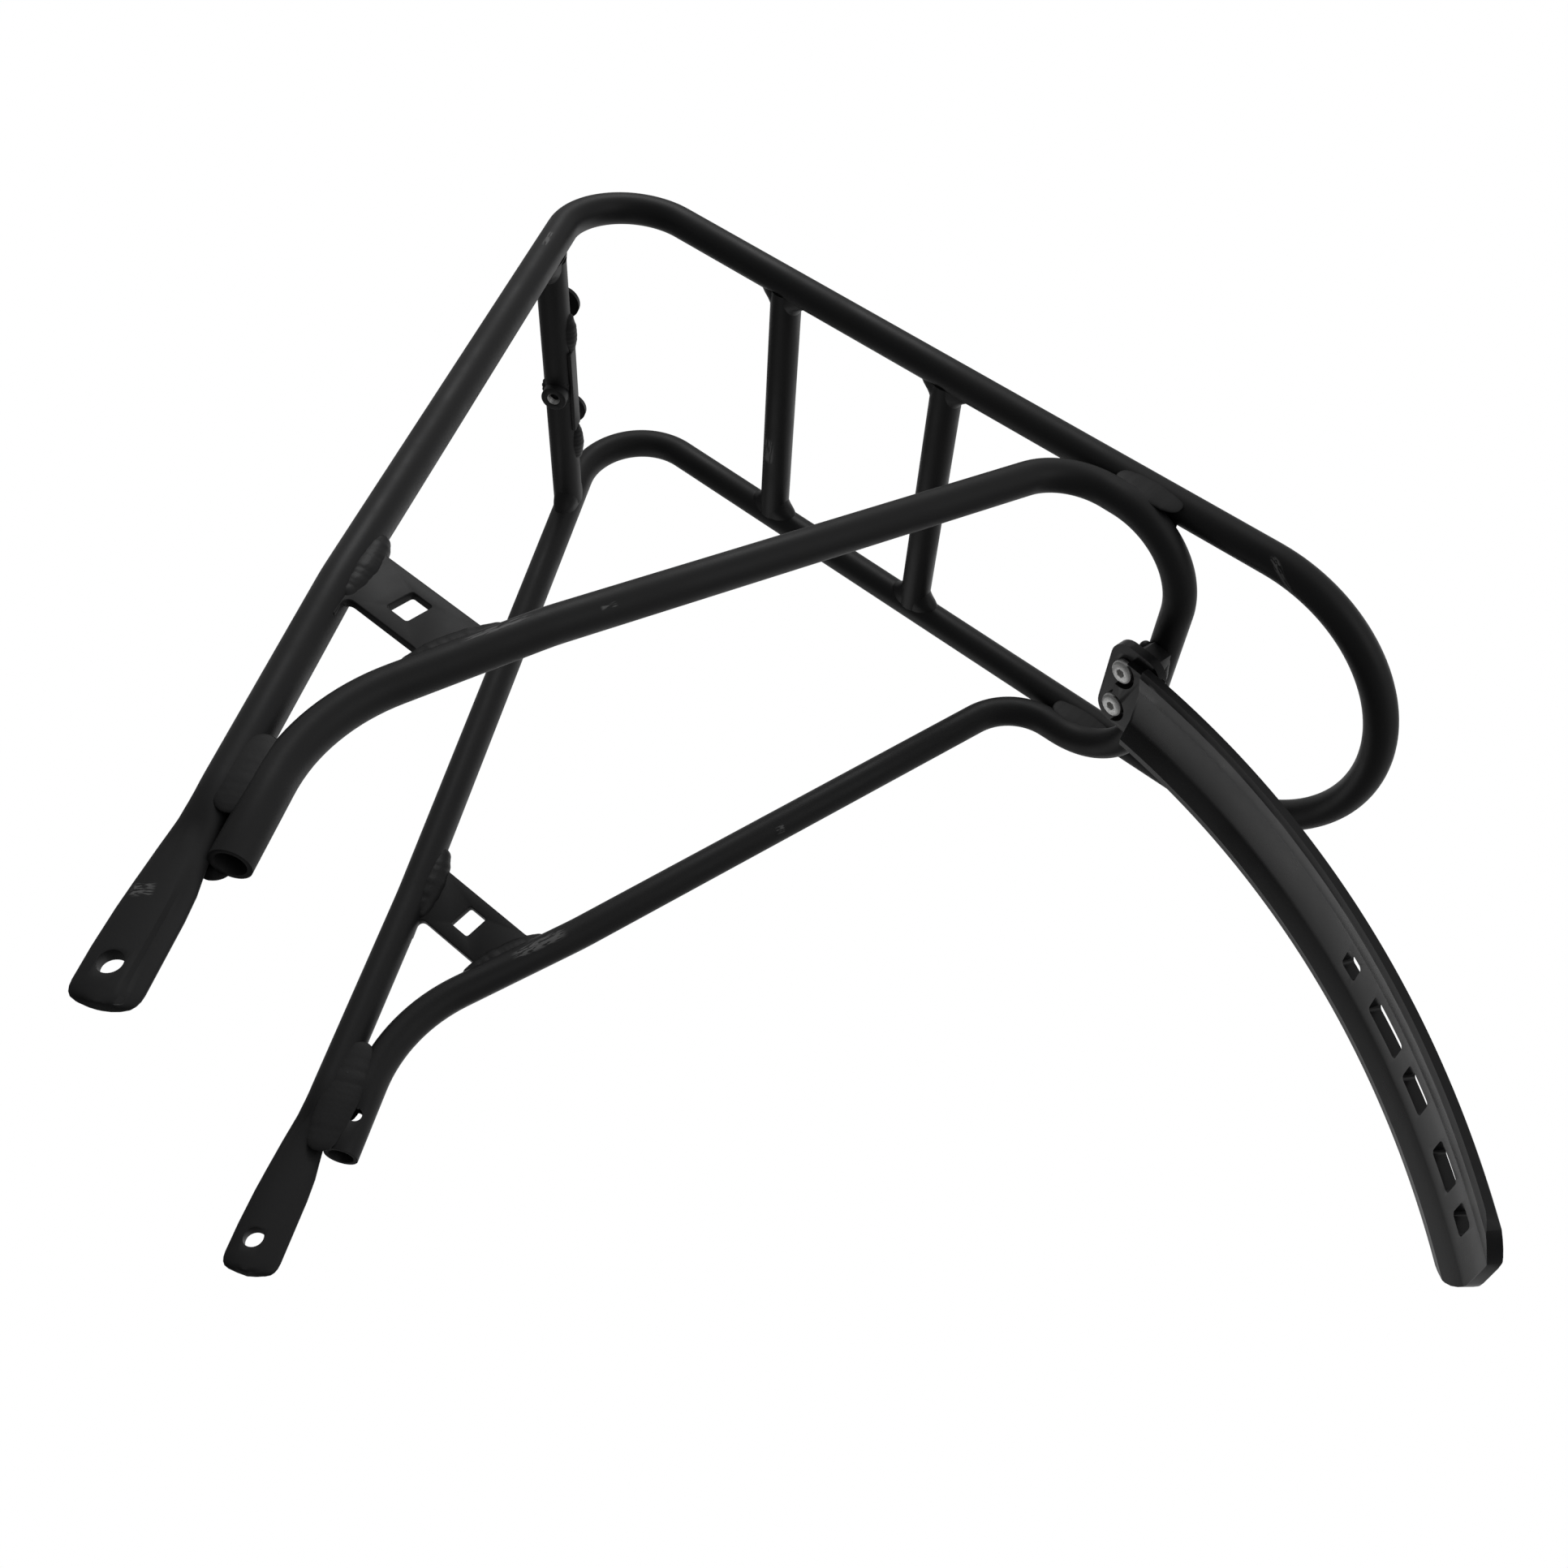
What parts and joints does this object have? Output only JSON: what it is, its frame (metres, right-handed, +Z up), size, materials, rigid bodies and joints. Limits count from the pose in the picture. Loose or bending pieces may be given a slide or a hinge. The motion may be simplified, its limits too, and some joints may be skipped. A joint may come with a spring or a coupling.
{
  "type": "bicycle rear carrier",
  "caption": "Rigid welded steel tube rear carrier for a bicycle: looped platform, splayed legs with flat drilled feet, gusset plates, and a curved slotted mudguard blade.",
  "frame": {"origin": "bottom centre of the bounding box, level with the lowest points of the two feet", "axes": "+X points to the rear of the bicycle, +Y to the carrier's right side, +Z up, with the platform level as in use"},
  "size_m": [0.4906, 0.1808, 0.3775],
  "materials": {
    "coated_steel": "satin black powder coat",
    "coated_weld": "satin black powder coat over rippled weld beads",
    "blade_plastic": "semi-gloss black moulded plastic",
    "screw_steel": "bright zinc-plated steel"
  },
  "bodies": {
    "root": {"main_tube": "coated_steel", "lower_tube": "coated_steel", "front_crossbar": "coated_steel", "middle_crossbar": "coated_steel", "rear_crossbar": "coated_steel", "left_gusset": "coated_steel", "right_gusset": "coated_steel", "mudguard_boss": "coated_steel", "stay_bracket": "coated_steel", "bracket_strip": "coated_steel", "blade_bracket": "coated_steel", "mudguard_blade": "blade_plastic", "left_blade_screw": "screw_steel", "right_blade_screw": "screw_steel", "left_front_crossbar_weld": "coated_weld", "left_middle_crossbar_weld": "coated_weld", "left_rear_crossbar_weld": "coated_weld", "right_front_crossbar_weld": "coated_weld", "right_middle_crossbar_weld": "coated_weld", "right_rear_crossbar_weld": "coated_weld", "left_gusset_leg_weld": "coated_weld", "left_gusset_brace_weld": "coated_weld", "left_leg_weld_outer": "coated_weld", "left_rail_weld_outer": "coated_weld", "left_leg_weld_inner": "coated_weld", "left_rail_weld_inner": "coated_weld", "right_gusset_leg_weld": "coated_weld", "right_gusset_brace_weld": "coated_weld", "right_leg_weld_outer": "coated_weld", "right_rail_weld_outer": "coated_weld", "right_leg_weld_inner": "coated_weld", "right_rail_weld_inner": "coated_weld", "boss_weld": "coated_weld", "left_stay_bracket_weld": "coated_weld", "right_stay_bracket_weld": "coated_weld", "blade_bracket_front_weld": "coated_weld", "blade_bracket_rear_weld": "coated_weld"}
  },
  "joints": []
}
